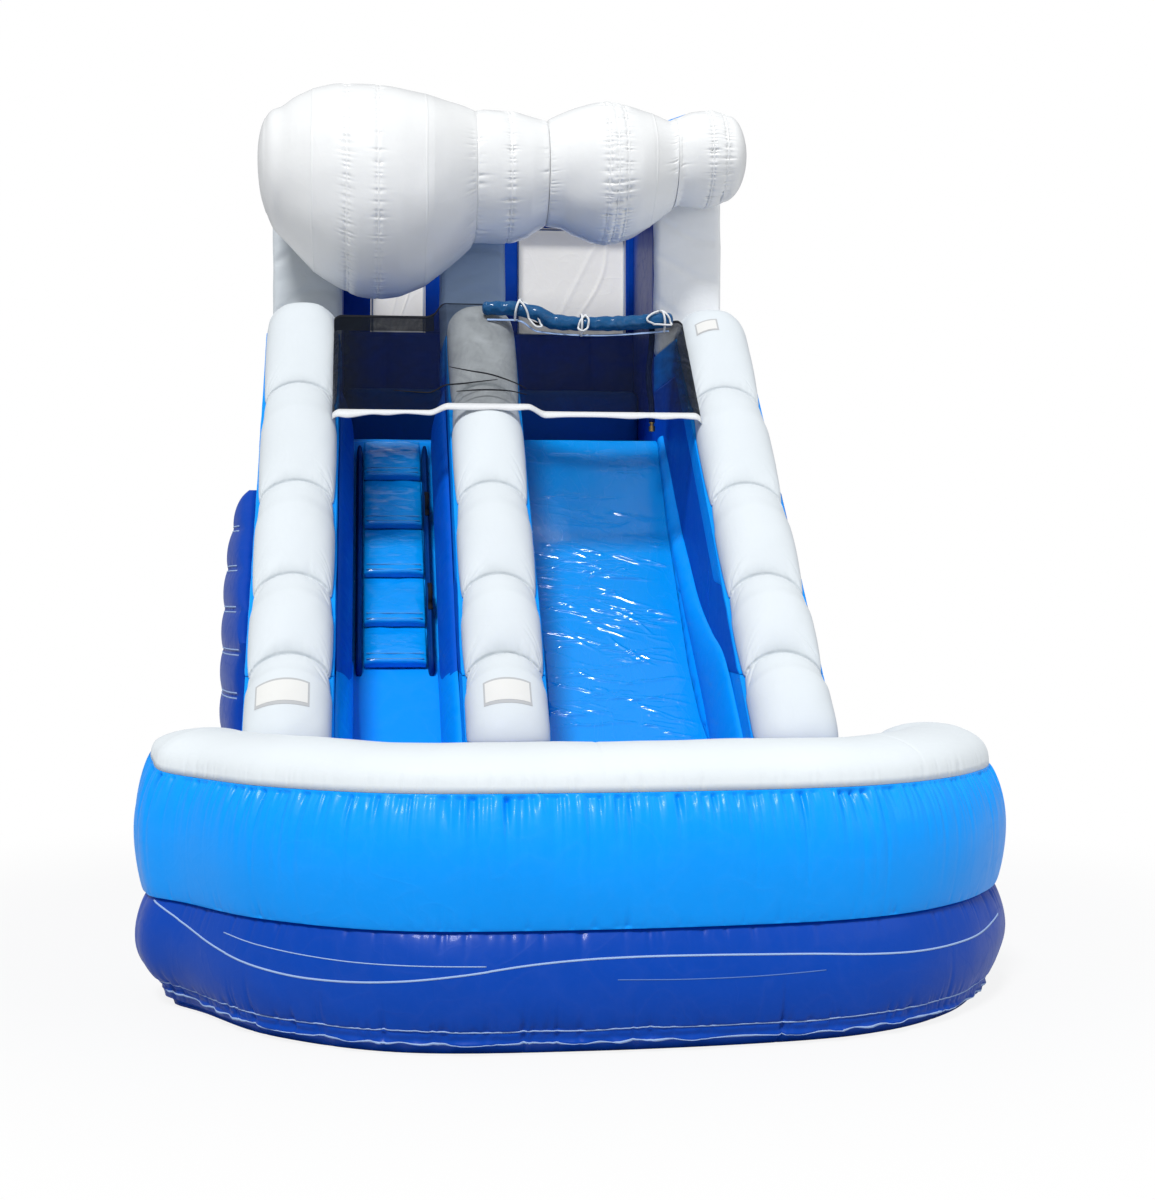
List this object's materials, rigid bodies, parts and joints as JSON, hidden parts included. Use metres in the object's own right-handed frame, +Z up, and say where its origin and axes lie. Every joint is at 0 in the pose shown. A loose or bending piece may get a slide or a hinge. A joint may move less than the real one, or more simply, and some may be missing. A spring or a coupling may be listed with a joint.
{
  "type": "inflatable water slide",
  "caption": "Inflatable water slide with a climbing lane beside a sliding lane, scalloped walls, a roofed platform with windows, a safety net and a ring pool at the foot.",
  "frame": {"origin": "on the ground, under the middle of the bounding box", "axes": "+Z up, +Y from the pool towards the back wall, +X to the right of someone facing the slide from the pool"},
  "size_m": [3.5894, 5.865, 4.42],
  "materials": {
    "light_blue_vinyl": "satin, inflated",
    "royal_vinyl": "satin, inflated",
    "navy_vinyl": "satin",
    "white_vinyl": "satin, inflated",
    "bed_sheet": "glossy, creased",
    "window_sheet": "matte",
    "net_cord": "knitted mesh",
    "white_webbing": "woven",
    "black_webbing": "woven",
    "sleeve_cloth": "coated, creased",
    "hose_rubber": "matte",
    "brass_fitting": "machined",
    "steel_fitting": "drawn wire"
  },
  "bodies": {
    "slide": {"left_wall": "royal_vinyl", "centre_wall": "royal_vinyl", "right_wall": "royal_vinyl", "side_panel_left": "royal_vinyl", "side_panel_right": "royal_vinyl", "pool_lower_ring": "royal_vinyl", "back_wall": "royal_vinyl", "inflation_tube": "royal_vinyl", "left_wall_trim": "light_blue_vinyl", "centre_wall_trim": "light_blue_vinyl", "right_wall_trim": "light_blue_vinyl", "pool_upper_ring": "light_blue_vinyl", "pool_floor": "light_blue_vinyl", "climb_bed": "light_blue_vinyl", "slide_bed": "light_blue_vinyl", "platform_floor": "light_blue_vinyl", "platform_bolster": "light_blue_vinyl", "slide_bolster_left": "light_blue_vinyl", "slide_bolster_right": "light_blue_vinyl", "crest_beam": "light_blue_vinyl", "climb_step_1": "light_blue_vinyl", "climb_step_2": "light_blue_vinyl", "climb_step_3": "light_blue_vinyl", "climb_step_4": "light_blue_vinyl", "climb_step_5": "light_blue_vinyl", "climb_rail_left": "navy_vinyl", "climb_rail_right": "navy_vinyl", "anchor_patch_1": "navy_vinyl", "anchor_patch_2": "navy_vinyl", "anchor_patch_3": "navy_vinyl", "left_cap": "white_vinyl", "centre_cap": "white_vinyl", "right_cap": "white_vinyl", "pool_rim": "white_vinyl", "left_tower": "white_vinyl", "centre_tower": "white_vinyl", "right_tower": "white_vinyl", "crest_lobe_1": "white_vinyl", "crest_lobe_2": "white_vinyl", "crest_lobe_3": "white_vinyl", "crest_lobe_4": "white_vinyl", "slide_cover": "bed_sheet", "slide_window": "window_sheet", "climb_window": "window_sheet", "safety_net": "net_cord", "net_hem": "white_webbing", "net_tie_1": "white_webbing", "net_tie_2": "white_webbing", "net_tie_3": "white_webbing", "climb_handle_1": "black_webbing", "climb_handle_2": "black_webbing", "zip_tape": "black_webbing", "spray_sleeve": "sleeve_cloth", "spray_hose": "hose_rubber", "hose_stem": "brass_fitting"},
    "ring_left": {"anchor_ring_1": "steel_fitting"},
    "ring_right": {"anchor_ring_2": "steel_fitting"},
    "ring_back": {"anchor_ring_3": "steel_fitting"},
    "slider": {"zip_slider": "steel_fitting"},
    "coupling": {"hose_coupling": "brass_fitting"}
  },
  "joints": [
    {"name": "ring_left_swing", "type": "hinge", "parent": "slide", "child": "ring_left", "pos_m": [-1.4145, -1.0085, 0.16], "axis": [0, 1, 0], "range_deg": [-8, 165]},
    {"name": "ring_right_swing", "type": "hinge", "parent": "slide", "child": "ring_right", "pos_m": [1.1845, -1.0085, 0.16], "axis": [0, -1, 0], "range_deg": [-8, 165]},
    {"name": "ring_back_swing", "type": "hinge", "parent": "slide", "child": "ring_back", "pos_m": [-0.665, 2.503, 0.16], "axis": [1, 0, 0], "range_deg": [-8, 165]},
    {"name": "zip_run", "type": "slide", "parent": "slide", "child": "slider", "axis": [1, 0, 0], "range_m": [0, 0.532]},
    {"name": "coupling_turn", "type": "hinge", "parent": "slide", "child": "coupling", "pos_m": [0.637, 0.467, 2.5104], "axis": [0, 0, 1], "continuous": true}
  ]
}
